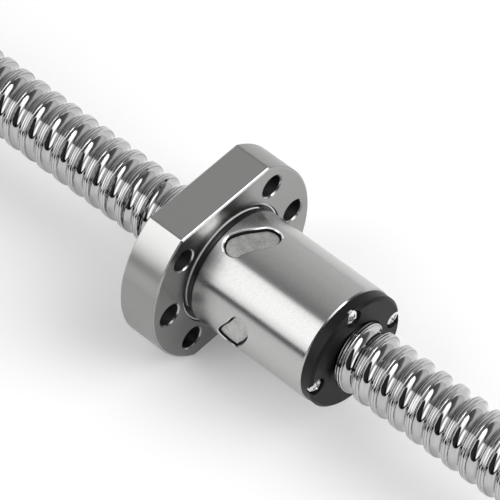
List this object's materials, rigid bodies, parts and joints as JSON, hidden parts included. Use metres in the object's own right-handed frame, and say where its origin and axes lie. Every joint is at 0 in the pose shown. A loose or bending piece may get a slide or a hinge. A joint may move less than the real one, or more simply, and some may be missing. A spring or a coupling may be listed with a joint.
{
  "type": "ball screw assembly",
  "caption": "Rolled ball screw with machined ends, carrying a flanged ball nut with internal ball return; the nut travels along the screw as it turns.",
  "frame": {"origin": "On the screw's axis, in the flange's seating face (the face on the barrel's side, which bolts against a housing).", "axes": "+X along the screw's axis towards the nut's nose and the floating end; +Z out of one of the flange's two flats, away from the flat with the lubrication port; +Y completes the right-handed frame."},
  "size_m": [0.3, 0.048, 0.04],
  "materials": {
    "screw_steel": "hardened, polished rolled thread and ground journals",
    "nut_steel": "ground hardened steel, satin",
    "insert_steel": "sintered, fine matt grain",
    "cover_plastic": "moulded black plastic, semi-matt",
    "wiper_felt": "pressed felt, matt",
    "ball_steel": "polished bearing steel",
    "screw_plated": "bright nickel plated steel"
  },
  "bodies": {
    "screw": {"screw_shaft": "screw_steel"},
    "wipers": {"front_wiper_ring": "wiper_felt", "rear_wiper_ring": "wiper_felt"},
    "nut": {"nut_body": "nut_steel", "front_cover": "cover_plastic", "rear_cover": "cover_plastic", "return_insert_1": "insert_steel", "return_insert_2": "insert_steel", "return_insert_3": "insert_steel", "return_insert_4": "insert_steel", "ball_circuit_1": "ball_steel", "ball_circuit_2": "ball_steel", "ball_circuit_3": "ball_steel", "ball_circuit_4": "ball_steel", "front_cover_screw_1": "screw_plated", "front_cover_screw_2": "screw_plated", "front_cover_screw_3": "screw_plated", "front_cover_screw_4": "screw_plated", "rear_cover_screw_1": "screw_plated", "rear_cover_screw_2": "screw_plated", "rear_cover_screw_3": "screw_plated", "rear_cover_screw_4": "screw_plated"}
  },
  "joints": [
    {"name": "nut_travel", "type": "slide", "parent": "screw", "child": "wipers", "axis": [1, 0, 0], "range_m": [-0.09, 0.09]},
    {"name": "nut_turn", "type": "hinge", "parent": "wipers", "child": "nut", "pos_m": [0, 0, 0], "axis": [1, 0, 0], "range_deg": [-6480, 6480]}
  ],
  "couplings": [
    {"joint": "nut_turn", "follows": "nut_travel", "rad_per_m": 1256.6}
  ]
}
